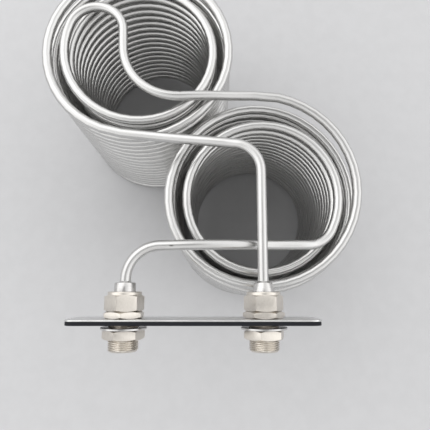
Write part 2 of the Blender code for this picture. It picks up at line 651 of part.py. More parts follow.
def build():
    """Makes every piece."""
    for leftover in list(bpy.data.objects):
        bpy.data.objects.remove(leftover)
    looks = {
        "steel": material("stainless_tube", (0.62, 0.62, 0.61), 0.28, 1.0),
        "plate": material("stainless_plate", (0.66, 0.66, 0.66), 0.36, 1.0),
        "nickel": material("nickel_brass", (0.62, 0.56, 0.50), 0.30, 1.0),
        "seal": material("black_rubber", (0.025, 0.027, 0.032), 0.60, 0.0),
    }
    rounded_sheet("mounting_plate", PLATE_LENGTH, PLATE_HEIGHT, PLATE_CORNER, PLATE_THICKNESS,
                  PLATE_BACK, PLATE_EDGE_ROUND, looks["plate"])
    rounded_sheet("plate_gasket", PLATE_LENGTH - 2 * GASKET_INSET, PLATE_HEIGHT - 2 * GASKET_INSET,
                  PLATE_CORNER - GASKET_INSET, GASKET_THICKNESS, 0.0, 0.0, looks["seal"])
    union_pieces("left", -UNION_SPACING / 2, looks, LEFT_UNION_TURN, LEFT_LOCKNUT_TURN)
    union_pieces("right", UNION_SPACING / 2, looks, RIGHT_UNION_TURN, RIGHT_LOCKNUT_TURN)
    right_entry = feed_tube(looks["steel"])
    left_entry = link_tube(looks["steel"])
    return_tube(looks["steel"])
    inner_helix("right_inner_helix", RIGHT_COIL_CENTRE, right_entry, RIGHT_START_Z,
                RIGHT_INNER_TURNS, RIGHT_INNER_PITCH, looks["steel"])
    bottom_turn("right_bottom_turn", RIGHT_COIL_CENTRE, right_entry, looks["steel"])
    outer_helix("right_outer_helix", RIGHT_COIL_CENTRE, right_entry, RIGHT_OUTER_TURNS,
                RIGHT_LEAVES, RIGHT_TOP, RIGHT_STAND_OUT, looks["steel"])
    inner_helix("left_inner_helix", LEFT_COIL_CENTRE, left_entry, LEFT_START_Z,
                LEFT_INNER_TURNS, LEFT_INNER_PITCH, looks["steel"])
    bottom_turn("left_bottom_turn", LEFT_COIL_CENTRE, left_entry, looks["steel"])
    outer_helix("left_outer_helix", LEFT_COIL_CENTRE, left_entry, LEFT_OUTER_TURNS,
                LEFT_LEAVES, LEFT_TOP, LEFT_STAND_OUT, looks["steel"])


build()
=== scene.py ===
# %% [markdown]
# # An immersion wort chiller, modelled in cells
#
# The object is one run of stainless tube. It starts at the left union of a small plate, winds down
# and up again as a double coil on the right, crosses to a second double coil on the left, and comes
# back to the right union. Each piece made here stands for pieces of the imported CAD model, so that
# model is loaded first.

# %% Load the fixed frame
from math import atan2, ceil, cos, degrees, pi, radians, sin, sqrt, tan

import bpy
from mathutils import Matrix, Vector


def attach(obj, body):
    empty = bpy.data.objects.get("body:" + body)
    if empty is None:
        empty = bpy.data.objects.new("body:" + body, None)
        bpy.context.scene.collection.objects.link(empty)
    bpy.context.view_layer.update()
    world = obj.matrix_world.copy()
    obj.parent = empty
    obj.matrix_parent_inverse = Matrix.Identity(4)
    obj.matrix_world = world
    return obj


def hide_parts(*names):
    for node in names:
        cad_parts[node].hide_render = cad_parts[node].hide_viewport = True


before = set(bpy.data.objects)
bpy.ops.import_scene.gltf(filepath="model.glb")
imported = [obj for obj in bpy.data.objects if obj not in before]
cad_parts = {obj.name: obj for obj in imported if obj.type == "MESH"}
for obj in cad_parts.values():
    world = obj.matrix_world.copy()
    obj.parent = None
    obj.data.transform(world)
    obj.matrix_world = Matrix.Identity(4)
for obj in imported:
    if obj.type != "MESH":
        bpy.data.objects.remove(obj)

scene = bpy.context.scene
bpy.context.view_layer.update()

# %% [markdown]
# ## The camera
#
# The camera stands over the coils and looks almost straight down, tilted a little towards the
# plate. It's written as three directions and a place, which is how a camera fit gives it.

# %% Place the camera
PHOTO_WIDTH, FOCAL_LENGTH = 430, 420    # pixels
SENSOR_WIDTH = 36.0
CAMERA_PLACE = (0.01761, 0.03134, 0.37622)
RIGHT = Vector((0.999998, 0.000118, 0.0018325)).normalized()
FORWARD = Vector((0.0017863, 0.168625, -0.985679)).normalized()
UP = RIGHT.cross(FORWARD).normalized()

camera_data = bpy.data.cameras.new("camera")
camera_data.sensor_width = SENSOR_WIDTH
camera_data.lens = SENSOR_WIDTH * FOCAL_LENGTH / PHOTO_WIDTH
camera_data.clip_start = 0.01
camera_data.shift_y = 0.0012
camera = bpy.data.objects.new("camera", camera_data)
scene.collection.objects.link(camera)
turn = Matrix((RIGHT, UP, -FORWARD)).transposed()
camera.matrix_world = Matrix.Translation(CAMERA_PLACE) @ turn.to_4x4()
scene.camera = camera
print("camera tilt from straight down", round(degrees(FORWARD.angle(Vector((0, 0, -1)))), 1))

# %% [markdown]
# ## Light and floor
#
# A steel tube shows what is round it, so the light is the most of its finish. Here a soft tent of
# light stands all round, dimmer straight above and towards the horizon. Each tube then has two broad
# white stripes, a thin grey line between them and dark sides. The tent is brighter left and right
# than fore and aft, so a tube that runs towards the plate shines more than one that runs along it,
# and least light comes from the plate's side. One wide, soft lamp gives the shadows a side.

# %% The tent of light
world = bpy.data.worlds.new("tent")
scene.world = world
world.use_nodes = True
nodes, links = world.node_tree.nodes, world.node_tree.links
direction = nodes.new("ShaderNodeTexCoord")
split = nodes.new("ShaderNodeSeparateXYZ")
height = nodes.new("ShaderNodeValToRGB")
height.color_ramp.interpolation = "EASE"
TENT = ((0.0, 0.50), (0.10, 0.84), (0.26, 1.30), (0.55, 1.40),
        (0.76, 1.20), (0.94, 1.04), (0.975, 0.48))
for k, (at, level) in enumerate(TENT):
    stop = height.color_ramp.elements[k] if k < 2 else height.color_ramp.elements.new(at)
    stop.position = at
    stop.color = (level, level, level, 1.0)
links.new(direction.outputs["Generated"], split.inputs[0])
links.new(split.outputs["Z"], height.inputs[0])
links.new(height.outputs[0], nodes["Background"].inputs["Color"])
SIDE_LIGHT, FAR_LIGHT = 0.25, 0.12


def calculated(operation, first, second, third=0.0):
    """One Math node of the world, whose inputs are sockets or numbers."""
    node = nodes.new("ShaderNodeMath")
    node.operation = operation
    for socket, value in zip(node.inputs, (first, second, third)):
        if isinstance(value, float):
            socket.default_value = value
        else:
            links.new(value, socket)
    return node.outputs[0]


x, y = split.outputs["X"], split.outputs["Y"]
across = calculated("SUBTRACT", calculated("MULTIPLY", x, x), calculated("MULTIPLY", y, y))
far = calculated("MULTIPLY_ADD", y, FAR_LIGHT, 1.0)
strength = calculated("MULTIPLY_ADD", across, SIDE_LIGHT, far)
links.new(strength, nodes["Background"].inputs["Strength"])
scene.view_settings.view_transform = "Standard"
print("tent levels", TENT)

# %% The lamp
LAMP_PLACE, LAMP_AIM = Vector((-0.55, 0.75, 0.95)), Vector((0.0, 0.18, -0.1))
lamp_data = bpy.data.lights.new("soft_lamp", "AREA")
lamp_data.shape = "DISK"
lamp_data.size = 1.3
lamp_data.energy = 2.5
lamp = bpy.data.objects.new("soft_lamp", lamp_data)
lamp.location = LAMP_PLACE
lamp.rotation_euler = (LAMP_AIM - LAMP_PLACE).to_track_quat("-Z", "Y").to_euler()
scene.collection.objects.link(lamp)
print("lamp", lamp_data.energy, "watts")

# %% [markdown]
# Most materials here need the same few nodes: a noise that colours a surface a little, roughens
# it unevenly and lifts it by a hair. One helper makes them, and each finish gives its own numbers.
# The noise reads the object's own coordinates, or an attribute that follows the tube.

# %% A helper for finishes
NOISE_DETAIL, BUMP_STRENGTH = 4.0, 0.6
COLOUR_FROM, COLOUR_TO = 0.35, 0.65    # the noise levels where the colour is all dark or all light
ROUGH_FROM, ROUGH_TO = 0.3, 0.7        # and where the roughness is least or most


def finish(name, dark, light, rough, metal, grain, stretch=(1, 1, 1), lift=0.0, attribute=None,
           shine=0.5):
    """A Principled material whose colour and roughness vary between two values by a noise."""
    made = bpy.data.materials.new(name)
    made.use_nodes = True
    tree = made.node_tree
    shader = tree.nodes["Principled BSDF"]
    shader.inputs["Metallic"].default_value = metal
    shader.inputs["Specular IOR Level"].default_value = shine
    place = tree.nodes.new("ShaderNodeMapping")
    place.inputs["Scale"].default_value = stretch
    if attribute:
        source = tree.nodes.new("ShaderNodeAttribute")
        source.attribute_name = attribute
        tree.links.new(source.outputs["Vector"], place.inputs["Vector"])
    else:
        source = tree.nodes.new("ShaderNodeTexCoord")
        tree.links.new(source.outputs["Object"], place.inputs["Vector"])
    noise = tree.nodes.new("ShaderNodeTexNoise")
    noise.inputs["Scale"].default_value = grain
    noise.inputs["Detail"].default_value = NOISE_DETAIL
    tree.links.new(place.outputs[0], noise.inputs["Vector"])
    colour = tree.nodes.new("ShaderNodeValToRGB")
    colour.color_ramp.elements[0].position = COLOUR_FROM
    colour.color_ramp.elements[1].position = COLOUR_TO
    colour.color_ramp.elements[0].color = (*dark, 1.0)
    colour.color_ramp.elements[1].color = (*light, 1.0)
    tree.links.new(noise.outputs["Fac"], colour.inputs[0])
    tree.links.new(colour.outputs[0], shader.inputs["Base Color"])
    polish = tree.nodes.new("ShaderNodeMapRange")
    polish.inputs["From Min"].default_value = ROUGH_FROM
    polish.inputs["From Max"].default_value = ROUGH_TO
    polish.inputs["To Min"].default_value = rough[0]
    polish.inputs["To Max"].default_value = rough[1]
    tree.links.new(noise.outputs["Fac"], polish.inputs["Value"])
    tree.links.new(polish.outputs[0], shader.inputs["Roughness"])
    if lift:
        bump = tree.nodes.new("ShaderNodeBump")
        bump.inputs["Distance"].default_value = lift
        bump.inputs["Strength"].default_value = BUMP_STRENGTH
        tree.links.new(noise.outputs["Fac"], bump.inputs["Height"])
        tree.links.new(bump.outputs[0], shader.inputs["Normal"])
    return made


# %% [markdown]
# Where a bender gripped the tube, it left a small dark smudge. Its place on the tube is known as a
# point of the attribute, so the smudge is painted by the distance to that point, longer than wide.

# %% Smudges on the tube
def smudge(made, attribute, centre, half_length, half_width, tint, strength):
    """Darkens a soft oval round a point that is given in the attribute's own numbers."""
    tree = made.node_tree
    shader = tree.nodes["Principled BSDF"]
    colour = shader.inputs["Base Color"].links[0].from_socket
    source = tree.nodes.new("ShaderNodeAttribute")
    source.attribute_name = attribute
    away, shaped, distance = (tree.nodes.new("ShaderNodeVectorMath") for _ in range(3))
    away.operation, shaped.operation, distance.operation = "SUBTRACT", "DIVIDE", "LENGTH"
    away.inputs[1].default_value = centre
    shaped.inputs[1].default_value = (half_width, half_width, half_length)
    tree.links.new(source.outputs["Vector"], away.inputs[0])
    tree.links.new(away.outputs[0], shaped.inputs[0])
    tree.links.new(shaped.outputs[0], distance.inputs[0])
    fade = tree.nodes.new("ShaderNodeMapRange")
    fade.interpolation_type = "SMOOTHSTEP"
    fade.inputs["To Min"].default_value = strength
    fade.inputs["To Max"].default_value = 0.0
    tree.links.new(distance.outputs["Value"], fade.inputs["Value"])
    mix = tree.nodes.new("ShaderNodeMix")
    mix.data_type = "RGBA"
    mix.inputs["B"].default_value = (*tint, 1.0)
    tree.links.new(fade.outputs[0], mix.inputs["Factor"])
    tree.links.new(colour, mix.inputs["A"])
    tree.links.new(mix.outputs["Result"], shader.inputs["Base Color"])


# %% [markdown]
# The floor is plain and pale. It lies just where the coils stand.

# %% The floor
FLOOR_Z = -0.22551
FLOOR_SIZE = 8.0
bpy.ops.object.select_all(action="DESELECT")
bpy.ops.mesh.primitive_grid_add(x_subdivisions=4, y_subdivisions=4, size=FLOOR_SIZE,
                                location=(0, 0, FLOOR_Z))
floor = bpy.context.object
floor.name = "floor"
bpy.ops.object.transform_apply(location=True, rotation=False, scale=False)
floor.data.materials.append(
    finish("pale_floor", (0.550, 0.550, 0.558), (0.568, 0.568, 0.576), (0.75, 0.85), 0.0, 60.0))
print("floor at", FLOOR_Z)

# %% [markdown]
# ## The finishes
#
# Drawn tube has fine lines along its length. Its noise is read from an attribute, which holds the
# place round the tube and along it, so that the lines bend with every turn. The plate is satin
# sheet with a polished rim. The nuts are nickel-plated brass, which is a little warmer than steel.

# %% The finishes
STEEL_TUBE = finish("drawn_stainless", (0.55, 0.545, 0.535), (0.67, 0.667, 0.66), (0.24, 0.31), 1.0,
                    2600.0, (1, 1, 0.012), 0.000006, "along_tube")
STEEL_SHEET = finish("satin_sheet", (0.74, 0.74, 0.745), (0.82, 0.82, 0.825), (0.34, 0.44), 1.0,
                     900.0, (0.12, 1, 1), 0.000006)
STEEL_RIM = finish("polished_rim", (0.66, 0.66, 0.65), (0.78, 0.78, 0.77), (0.12, 0.20), 1.0,
                   500.0, (0.2, 1, 1))
STEEL_TURNED = finish("turned_stainless", (0.56, 0.55, 0.54), (0.63, 0.62, 0.61), (0.20, 0.25), 1.0,
                      1500.0, (0.06, 1, 0.06))
NICKEL = finish("nickel_plate", (0.665, 0.625, 0.57), (0.715, 0.675, 0.62), (0.30, 0.37), 1.0,
                900.0, (1, 0.5, 1), 0.000001)
RUBBER = finish("seal_rubber", (0.008, 0.008, 0.011), (0.014, 0.015, 0.019), (0.55, 0.80), 0.0,
                1200.0, (1, 1, 1), 0.00002, shine=0.22)
print("finishes", ", ".join(m.name for m in (STEEL_TUBE, STEEL_SHEET, STEEL_RIM, STEEL_TURNED,
                                            NICKEL, RUBBER)))

# %% [markdown]
# ## The plate and its gasket
#
# Both are sheets with rounded corners and two holes. Each starts as a cube of the sheet's size. Its
# corners are bevelled round, the holes are cut by a Boolean, and then the sheet is sliced into
# strips across, so that it can get the slight wave that a thin sheet has on a real wall.

# %% Sizes of the plate and the unions
UNIONS = {"left": -0.061, "right": 0.061}
THREAD_RADIUS = 0.0132
THREAD_CLEARANCE = 0.0003
PLATE_BACK, PLATE_FRONT = 0.0033, 0.0048


def only(piece):
    """Selects one object and nothing else."""
    bpy.ops.object.select_all(action="DESELECT")
    piece.select_set(True)
    bpy.context.view_layer.objects.active = piece


def apply_all(piece):
    """Applies the modifiers of a piece, first to last."""
    only(piece)
    for modifier in list(piece.modifiers):
        bpy.ops.object.modifier_apply(modifier=modifier.name)


def cut_with(piece, cutter, operation):
    """Cuts a piece with another, which is then thrown away."""
    modifier = piece.modifiers.new("cut", "BOOLEAN")
    modifier.operation = operation
    modifier.solver = "EXACT"
    modifier.object = cutter
    apply_all(piece)
    bpy.data.objects.remove(cutter)


# %% The sheet helper
STRIP, STRIP_SHIFT = 0.005, 0.0011    # the strips' width, and how far their grid is moved aside
STRIPS = 20                           # on either side of the middle
LONG_WAVE, SHORT_WAVE = 52, 121       # radians a metre
LONG_PHASE, SHORT_PHASE = 0.6, 2.0


def sheet(name, length, height, corner, back, front, edge, wave):
    """A wavy upright sheet with rounded corners and two holes."""
    bpy.ops.object.select_all(action="DESELECT")
    bpy.ops.mesh.primitive_cube_add(size=1.0, location=(0, (back + front) / 2, 0),
                                    scale=(length, front - back, height))
    piece = bpy.context.object
    piece.name = name
    bpy.ops.object.transform_apply(location=True, rotation=True, scale=True)
    bpy.ops.object.mode_set(mode="EDIT")
    bpy.ops.mesh.select_mode(type="EDGE")
    bpy.ops.mesh.select_all(action="DESELECT")
    bpy.ops.object.mode_set(mode="OBJECT")
    for e in piece.data.edges:
        a, b = (piece.data.vertices[v].co for v in e.vertices)
        e.select = abs(a.x - b.x) < 1e-6 and abs(a.z - b.z) < 1e-6
    bpy.ops.object.mode_set(mode="EDIT")
    bpy.ops.mesh.bevel(offset=corner, segments=10, affect="EDGES")
    bpy.ops.object.mode_set(mode="OBJECT")
    for x in UNIONS.values():
        bpy.ops.object.select_all(action="DESELECT")
        bpy.ops.mesh.primitive_cylinder_add(vertices=72, radius=THREAD_RADIUS + THREAD_CLEARANCE,
                                            depth=0.02, location=(x, back, 0),
                                            rotation=(pi / 2, 0, 0))
        cut_with(piece, bpy.context.object, "DIFFERENCE")
    rounded = piece.modifiers.new("edge", "BEVEL")
    rounded.width = edge
    rounded.segments = 3
    rounded.limit_method = "ANGLE"
    rounded.angle_limit = radians(50)
    apply_all(piece)
    bpy.ops.object.mode_set(mode="EDIT")
    for k in range(-STRIPS, STRIPS + 1):
        bpy.ops.mesh.select_all(action="SELECT")
        bpy.ops.mesh.bisect(plane_co=(k * STRIP + STRIP_SHIFT, 0, 0), plane_no=(1, 0, 0))
    bpy.ops.object.mode_set(mode="OBJECT")
    for v in piece.data.vertices:
        short = sin(SHORT_WAVE * v.co.x + SHORT_PHASE)
        v.co.z += wave * (sin(LONG_WAVE * v.co.x + LONG_PHASE) + 0.5 * short)
    bpy.ops.object.shade_smooth_by_angle(angle=radians(32))
    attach(piece, "root")
    return piece


# %% Make the plate
plate = sheet("plate", 0.2165, 0.043, 0.009, PLATE_BACK, PLATE_FRONT, 0.0005, 0.00018)
plate.data.materials.append(STEEL_SHEET)
plate.data.materials.append(STEEL_RIM)
for face in plate.data.polygons:
    face.material_index = 0 if abs(face.normal.y) > 0.95 else 1
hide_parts("mounting_plate")
print("plate", len(plate.data.polygons), "faces")

# %% Make the gasket
gasket = sheet("gasket", 0.2155, 0.042, 0.0085, 0.0, 0.003, 0.00035, 0.0003)
gasket.data.materials.append(RUBBER)
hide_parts("plate_gasket")
print("gasket", len(gasket.data.polygons), "faces")

# %% [markdown]
# ## Turned pieces
#
# Sleeves, washers, threaded bodies and the blanks of the nuts are round about a union's axis. Each
# profile is drawn as on a lathe: one vertex is extruded from point to point and back to the first,
# and the line is spun round the axis.

# %% The lathe
def lathe(name, profile, steps=72):
    """Spins a closed profile of (radius, distance into the vessel) about the Y axis."""
    points = [Vector((r, along, 0.0)) for r, along in profile]
    bpy.ops.object.select_all(action="DESELECT")
    bpy.ops.mesh.primitive_plane_add(size=0.001)
    piece = bpy.context.object
    piece.name = name
    bpy.ops.object.mode_set(mode="EDIT")
    bpy.ops.mesh.select_mode(type="VERT")
    bpy.ops.mesh.select_all(action="SELECT")
    bpy.ops.mesh.merge(type="CENTER")
    bpy.ops.transform.translate(value=points[0])
    for here, there in zip(points, points[1:] + points[:1]):
        bpy.ops.mesh.extrude_region_move(TRANSFORM_OT_translate={"value": there - here})
    bpy.ops.mesh.select_all(action="SELECT")
    bpy.ops.mesh.spin(steps=steps, angle=2 * pi, center=(0, 0, 0), axis=(0, 1, 0))
    bpy.ops.mesh.select_all(action="SELECT")
    bpy.ops.mesh.remove_doubles(threshold=1e-6)
    bpy.ops.mesh.normals_make_consistent(inside=False)
    bpy.ops.object.mode_set(mode="OBJECT")
    return piece


def placed(blank, name, x, turn=0.0):
    """A copy with its own mesh, turned about its axis and moved to a union."""
    piece = bpy.data.objects.new(name, blank.data.copy())
    scene.collection.objects.link(piece)
    piece.data.transform(Matrix.Translation((x, 0, 0)) @ Matrix.Rotation(radians(turn), 4, "Y"))
    return piece


def finished(piece, look, slot, body, *cad_nodes, angle=28):
    """Gives a piece its finish, its smooth shading and its place in the frame."""
    piece.data.materials.append(look)
    only(piece)
    bpy.ops.object.shade_smooth_by_angle(angle=radians(angle))
    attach(piece, body)
    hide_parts(*cad_nodes)
    print(piece.name, len(piece.data.polygons), "faces")


# %% [markdown]
# ## The nuts
#
# A real nut is a hexagon whose corners are turned off, which leaves a curved line on each flat. So
# the blank is turned first and then cut by a hexagonal prism. A fine bevel catches the light.

# %% Sizes along the unions' axes
THIN_FLATS, UNION_FLATS = 0.0316, 0.0300
LOCKNUT_BACK, LOCKNUT_FRONT = 0.0051, 0.0106
UNION_BACK, UNION_SHOULDER, UNION_FRONT = 0.0109, 0.0247, 0.0277
FLANGE_BACK, FLANGE_FRONT, SLEEVE_FRONT = 0.0212, 0.0242, 0.0355
BODY_BACK, BODY_FRONT = -0.0228, 0.0186
WASHER_BACK, WASHER_FRONT = -0.0045, -0.0025
REAR_BACK, REAR_FRONT = -0.0128, -0.0048
TUBE_END = 0.0222
BORE = THREAD_RADIUS + THREAD_CLEARANCE
CHAMFER_ANGLE = 28
CORNER_SPARE = 0.0003    # the blank's radius, beyond the hexagon's corners
MOUTH = 0.001            # the chamfer of a nut's bore


def chamfer(flats):
    """Where a nut's chamfer meets the flats and the corners, and how far it goes along the axis."""
    face, outer = flats / 2, flats / 2 / cos(pi / 6) + CORNER_SPARE
    return face, outer, (outer - face) * tan(radians(CHAMFER_ANGLE))


print("chamfer", round(chamfer(UNION_FLATS)[2] * 1000, 2), "mm along the axis")


# %% The nut helper
def hexagonal(name, profile, flats, edge=0.00025):
    """A turned blank cut to a hexagon with a flat on top."""
    blank = lathe(name, profile, 144)
    bpy.ops.object.select_all(action="DESELECT")
    bpy.ops.mesh.primitive_cylinder_add(vertices=6, radius=flats / 2 / cos(pi / 6), depth=0.1,
                                        rotation=(pi / 2, radians(30), 0))
    cut_with(blank, bpy.context.object, "INTERSECT")
    soft = blank.modifiers.new("edge", "BEVEL")
    soft.width = edge
    soft.segments = 2
    soft.limit_method = "ANGLE"
    soft.angle_limit = radians(24)
    apply_all(blank)
    return blank


def plain_nut_profile(back, front):
    """The profile of a thin nut, chamfered on both sides."""
    (flat, outer, drop), mouth = chamfer(THIN_FLATS), BORE + MOUTH
    return [(BORE, back + MOUTH), (mouth, back), (flat, back), (outer, back + drop),
            (outer, front - drop), (flat, front), (mouth, front), (BORE, front - MOUTH)]


# %% Make the locknuts and the backing nuts
thin = hexagonal("thin_nut", plain_nut_profile(LOCKNUT_BACK, LOCKNUT_FRONT), THIN_FLATS)
rear = hexagonal("rear_nut", plain_nut_profile(REAR_BACK, REAR_FRONT), THIN_FLATS)
for side, turn in (("left", 31.0), ("right", -2.0)):
    finished(placed(thin, side + "_thin_nut", UNIONS[side], turn),
             NICKEL, "nickel_brass", "root", side + "_locknut")
    finished(placed(rear, side + "_rear_nut", UNIONS[side], 14.0),
             NICKEL, "nickel_brass", "root", side + "_backing_nut")
bpy.data.objects.remove(thin)
bpy.data.objects.remove(rear)

# %% Make the union nuts
COLLAR, THROAT = 0.0148, 0.00985    # radii
LID = 0.0032                        # the wall that holds the sleeve's flange
flat, outer, drop = chamfer(UNION_FLATS)
coupling = hexagonal("coupling_nut", [
    (BORE + MOUTH, UNION_BACK), (flat, UNION_BACK), (outer, UNION_BACK + drop),
    (outer, UNION_SHOULDER - drop), (flat, UNION_SHOULDER), (COLLAR + 0.00015, UNION_SHOULDER),
    (COLLAR, UNION_SHOULDER + 0.0003), (COLLAR, UNION_FRONT - 0.0009),
    (COLLAR - 0.0003, UNION_FRONT - 0.0003), (COLLAR - 0.0009, UNION_FRONT),
    (THROAT + 0.0004, UNION_FRONT), (THROAT, UNION_FRONT - 0.0004), (THROAT, UNION_FRONT - LID),
    (BORE, UNION_FRONT - LID), (BORE, UNION_BACK + MOUTH)], UNION_FLATS)
for side, turn in (("left", 17.5), ("right", 2.0)):
    finished(placed(coupling, side + "_coupling_nut", UNIONS[side], turn),
             NICKEL, "nickel_brass", side + "_union_nut", side + "_union_nut")
bpy.data.objects.remove(coupling)

# %% [markdown]
# ## The sleeves
#
# A sleeve is brazed on each end of the tube, and its hidden flange is what the nut pulls on. The
# left one is straight. The right one tapers towards the tube. A small fillet of braze closes the
# step down to the tube.

# %% Make the sleeves
TUBE_RADIUS = 0.0047625
SLEEVE_FIT, FLANGE_CLEARANCE = 0.00005, 0.0004
SHAPES = {"left": (0.00945, 0.0093), "right": (0.0096, 0.0080)}    # radii at the nut and at the end
for side, (wide, narrow) in SHAPES.items():
    inside, flange = TUBE_RADIUS + SLEEVE_FIT, BORE - FLANGE_CLEARANCE
    profile = [(inside, FLANGE_BACK), (flange, FLANGE_BACK), (flange, FLANGE_FRONT),
               (wide, FLANGE_FRONT), (wide, UNION_FRONT + 0.0004), (narrow, SLEEVE_FRONT - 0.0009),
               (narrow - 0.0003, SLEEVE_FRONT - 0.0002), (narrow - 0.0009, SLEEVE_FRONT),
               (inside + 0.0014, SLEEVE_FRONT + 0.0001), (inside + 0.0005, SLEEVE_FRONT + 0.0005),
               (inside, SLEEVE_FRONT + 0.0013)]
    sleeve = lathe("sleeve_blank", profile)
    finished(placed(sleeve, side + "_sleeve", UNIONS[side]), STEEL_TURNED, "stainless_fitting",
             "root", side + "_tail_sleeve", angle=40)
    bpy.data.objects.remove(sleeve)

# %% [markdown]
# ## The threaded bodies and washers
#
# The bodies stick out behind the plate, where a hose union screws on. Their thread is modelled: a
# finely stepped cylinder is turned, and each of its vertices is moved in by where it lies on the
# helix. That keeps the mesh closed, which a swept tooth would not.

# %% Cut the thread
PITCH, DEPTH = 0.0018, 0.00095
BODY_BORE_RADIUS = 0.008
END_INSET, END_LENGTH = 0.0014, 0.0015    # of the chamfered ends
THREADED = BODY_FRONT - BODY_BACK - 0.003
RING_STEP = 0.00036
count = ceil(THREADED / RING_STEP)
profile = [(BODY_BORE_RADIUS, BODY_BACK), (THREAD_RADIUS - END_INSET, BODY_BACK)]
profile += [(THREAD_RADIUS, BODY_BACK + END_LENGTH + THREADED * k / count) for k in range(count + 1)]
profile += [(THREAD_RADIUS - END_INSET, BODY_FRONT), (BODY_BORE_RADIUS, BODY_FRONT)]
threaded = lathe("threaded_body", profile, 48)
for v in threaded.data.vertices:
    off = Vector((v.co.x, v.co.z))
    if off.length > THREAD_RADIUS - 0.0002:
        phase = (v.co.y / PITCH + atan2(off.y, off.x) / (2 * pi)) % 1.0
        off *= 1 - DEPTH / THREAD_RADIUS * min(1.0, max(0.0, 1.6 * abs(2 * phase - 1) - 0.3))
        v.co.x, v.co.z = off

# %% Make the bodies, the washers and the seals
WASHER_RADIUS, WASHER_FACE, WASHER_EDGE = 0.02, 0.0196, 0.0004
washer = lathe("washer", [
    (BORE, WASHER_BACK), (WASHER_FACE, WASHER_BACK), (WASHER_RADIUS, WASHER_BACK + WASHER_EDGE),
    (WASHER_RADIUS, WASHER_FRONT - WASHER_EDGE), (WASHER_FACE, WASHER_FRONT), (BORE, WASHER_FRONT)])
for side, x in UNIONS.items():
    finished(placed(threaded, side + "_threaded_body", x), NICKEL, "nickel_brass", "root",
             side + "_bulkhead_body", angle=35)
    finished(placed(washer, side + "_flat_washer", x), STEEL_TURNED, "stainless_fitting", "root",
             side + "_outside_washer")
    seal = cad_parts[side + "_union_seal"]
    seal.data.materials.clear()
    seal.data.materials.append(RUBBER)
bpy.data.objects.remove(threaded)
bpy.data.objects.remove(washer)

# %% [markdown]
# ## The tube's route
#
# The whole run is one tube, so it is one curve here. Its route is worked out in plan from straight
# runs, bends and circles, and each stretch gets its heights. The formulas follow the CAD model's, at
# finer steps, because a turn of ten or eleven points would look bent by hand.

# %% Sizes of the coils
INNER, OUTER = 0.0762, 0.0928
CENTRES = {"right": Vector((0.0656, 0.1219)), "left": Vector((-0.0604, 0.2734))}
START_Z = {"right": -0.0345, "left": -0.019}
INNER_TURNS = {"right": 17, "left": 18}
OUTER_TURNS = {"right": 16, "left": 17}
FIRST_PITCH = LAST_PITCH = 0.018
RIGHT_PITCH = 0.01045
LEAN, LIFT, RISE = Vector((-0.003, -0.003)), 0.002, 0.0108
BOTTOM_Z = START_Z["right"] - (FIRST_PITCH + RIGHT_PITCH * (INNER_TURNS["right"] - 1)) - LIFT
LEAVES = {"right": (94.5, -0.0305), "left": (-97.8, -0.016)}
TOPS = {"right": (0.0075, 0.0035), "left": (0.0, 0.001)}
STAND_OUT = {"right": (0.005, 105.0, 4.5, 3.5), "left": (-0.0033, -50.0, 7.5, 4.5)}
LIFT_FADES = 0.15                       # of a turn
SWING_BEGINS, SWING_OVER = 0.95, 0.4    # turns before the end, and how many turns it takes
RADIUS_WAVE, HEIGHT_WAVE = 0.00022, 0.00019
PHASES = {"right": 0.7, "left": 3.1}
TURN_STEPS = 44
print("bottom turn at", round(BOTTOM_Z, 5))


# %% Helpers for the plan
def heading(angle):
    """The unit vector at an angle in degrees, seen from above."""
    return Vector((cos(radians(angle)), sin(radians(angle))))


def ease(value):
    """Rises from 0 to 1 with level ends."""
    value = min(max(value, 0.0), 1.0)
    return value * value * (3 - 2 * value)


def arc(centre, radius, start, end):
    """Points of a bend, from one angle to another."""
    steps = ceil(abs(end - start) / 7.0)
    return [centre + radius * heading(start + (end - start) * k / steps) for k in range(steps + 1)]


def straight(start, end):
    """Points on a straight run, its end left out."""
    steps = ceil((end - start).length / 0.011)
    return [start.lerp(end, k / steps) for k in range(steps)]


def circle_entry(start, direction, centre, circle, bend):
    """The left-hand bend onto a circle from inside: its centre, first and last angle."""
    ahead = heading(direction)
    offset = start + bend * heading(direction + 90) - centre
    reach = circle - bend
    along = -offset.dot(ahead) + sqrt(offset.dot(ahead) ** 2 - offset.dot(offset) + reach ** 2)
    middle = start + along * ahead + bend * heading(direction + 90)
    last = degrees(atan2(middle.y - centre.y, middle.x - centre.x))
    first = direction - 90
    return middle, first, last if last > first else last + 360


def with_heights(plan, keys):
    """Heights along a plan: keys are (share of the length, height), eased in between."""
    total = sum((b - a).length for a, b in zip(plan, plan[1:]))
    length, points = 0.0, []
    for k, point in enumerate(plan):
        length += (point - plan[k - 1]).length if k else 0.0
        share = length / total
        z = keys[-1][1]
        for (s0, z0), (s1, z1) in zip(keys, keys[1:]):
            if s0 <= share <= s1:
                z = z0 + (z1 - z0) * ease((share - s0) / (s1 - s0))
                break
        points.append(Vector((point.x, point.y, z)))
    return points


# %% [markdown]
# A coil goes down by its inner helix, crosses outwards on a level bottom turn, and comes up by its
# outer helix. The outer helix leans a little and its top turn swings out to where it leaves, as in
# the photograph. No wound coil is perfect, so slow waves of a fifth of a millimetre vary the radius
# and the heights of the turns.

